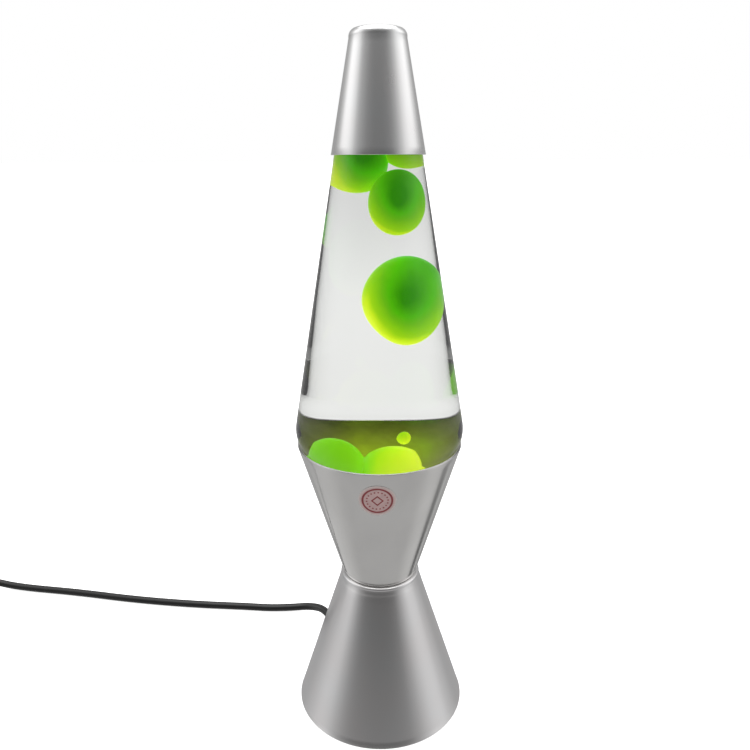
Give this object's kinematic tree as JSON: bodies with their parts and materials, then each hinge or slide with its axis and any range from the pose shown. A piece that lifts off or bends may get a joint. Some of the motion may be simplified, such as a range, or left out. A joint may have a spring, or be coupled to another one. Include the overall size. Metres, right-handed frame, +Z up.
{
  "type": "lava lamp",
  "caption": "Tabletop lava lamp: tapered glass bottle of clear liquid and green wax in a spun metal hourglass base with a lift-off cap, reflector bulb and mains cord with in-line switch.",
  "frame": {"origin": "middle of the base, on the surface that the lamp stands on", "axes": "+Z up along the lamp's axis, -Y towards the front with the round label, the cord leaves at the back left and lies towards -X"},
  "size_m": [0.5424, 0.207, 0.41],
  "materials": {
    "spun_aluminium": "fine circular brushing, satin",
    "cup_aluminium": "smooth satin",
    "cap_aluminium": "fine circular brushing, bright",
    "bottle_glass": "clear",
    "clear_liquid": "clear liquid",
    "green_wax": "soft translucent wax",
    "crown_tinplate": "plain tinplate",
    "liner": "soft liner",
    "coil_steel": "plain steel",
    "black_plastic": "fine grain",
    "foot_rubber": "matt",
    "seat_silicone": "matt",
    "zinc_steel": "zinc plated",
    "holder_plastic": "moulded thermoset",
    "brass": "plain",
    "live_insulation": "brown insulation",
    "neutral_insulation": "blue insulation",
    "cord_jacket": "smooth jacket",
    "grommet_plastic": "satin",
    "switch_plastic": "moulded",
    "plug_plastic": "moulded",
    "pin_nickel": "nickel plated",
    "label_film": "printed film",
    "bulb_glass": "frosted face, mirrored neck",
    "bulb_cap_metal": "pressed thread",
    "bulb_black_glass": "black glass",
    "solder": "solder",
    "tungsten": "fine wire"
  },
  "bodies": {
    "base": {"lower_base_shell": "spun_aluminium", "upper_base_shell": "cup_aluminium", "waist_lock_ring": "zinc_steel", "globe_seat_ring": "seat_silicone", "bottom_cover": "black_plastic", "rubber_feet": "foot_rubber", "cover_screws": "zinc_steel", "socket_bracket": "zinc_steel", "threaded_stem": "zinc_steel", "stem_nuts": "zinc_steel", "lamp_holder_body": "holder_plastic", "lamp_holder_shell": "brass", "lamp_holder_contact": "brass", "lamp_holder_terminals": "brass", "live_wire": "live_insulation", "neutral_wire": "neutral_insulation", "cord_grommet": "grommet_plastic", "cord_inlet_length": "cord_jacket", "round_label": "label_film", "cord_run": "cord_jacket", "cord_tail": "cord_jacket", "cord_coil": "cord_jacket", "cord_end": "cord_jacket", "switch_housing_lower": "switch_plastic", "switch_housing_upper": "switch_plastic", "switch_screws": "zinc_steel", "switch_contacts": "brass", "plug_body": "plug_plastic", "plug_pins": "pin_nickel", "plug_pin_sleeves": "plug_plastic"},
    "globe": {"glass_bottle": "bottle_glass", "liquid": "clear_liquid", "wax_pool": "green_wax", "heating_coil": "coil_steel", "wax_top_left": "green_wax", "wax_top_right": "green_wax", "crown_cap": "crown_tinplate", "crown_liner": "liner"},
    "large_blob": {"large_blob": "green_wax"},
    "small_blob": {"small_blob": "green_wax"},
    "droplet": {"wax_droplet": "green_wax"},
    "cap": {"top_cap": "cap_aluminium"},
    "bulb": {"bulb_envelope": "bulb_glass", "bulb_screw_shell": "bulb_cap_metal", "bulb_insulator": "bulb_black_glass", "bulb_contact": "solder", "bulb_stem": "bulb_glass", "bulb_filament": "tungsten"},
    "rocker": {"switch_rocker": "switch_plastic"}
  },
  "joints": [
    {"name": "globe_lift", "type": "slide", "parent": "base", "child": "globe", "axis": [0, 0, 1], "range_m": [0, 0.065]},
    {"name": "cap_lift", "type": "slide", "parent": "globe", "child": "cap", "axis": [0, 0, 1], "range_m": [0, 0.05]},
    {"name": "bulb_turn", "type": "hinge", "parent": "base", "child": "bulb", "pos_m": [0, 0, 0.062], "axis": [0, 0, 1], "continuous": true},
    {"name": "switch_rock", "type": "hinge", "parent": "base", "child": "rocker", "pos_m": [-0.376, 0.12, 0.0122], "axis": [0, -1, 0], "range_deg": [0, 16]},
    {"name": "large_blob_drift", "type": "slide", "parent": "globe", "child": "large_blob", "axis": [0, 0, 1], "range_m": [-0.03, 0]},
    {"name": "small_blob_drift", "type": "slide", "parent": "globe", "child": "small_blob", "axis": [0, 0, 1], "range_m": [-0.008, 0]},
    {"name": "droplet_drift", "type": "slide", "parent": "globe", "child": "droplet", "axis": [0, 0, 1], "range_m": [0, 0.018]}
  ]
}
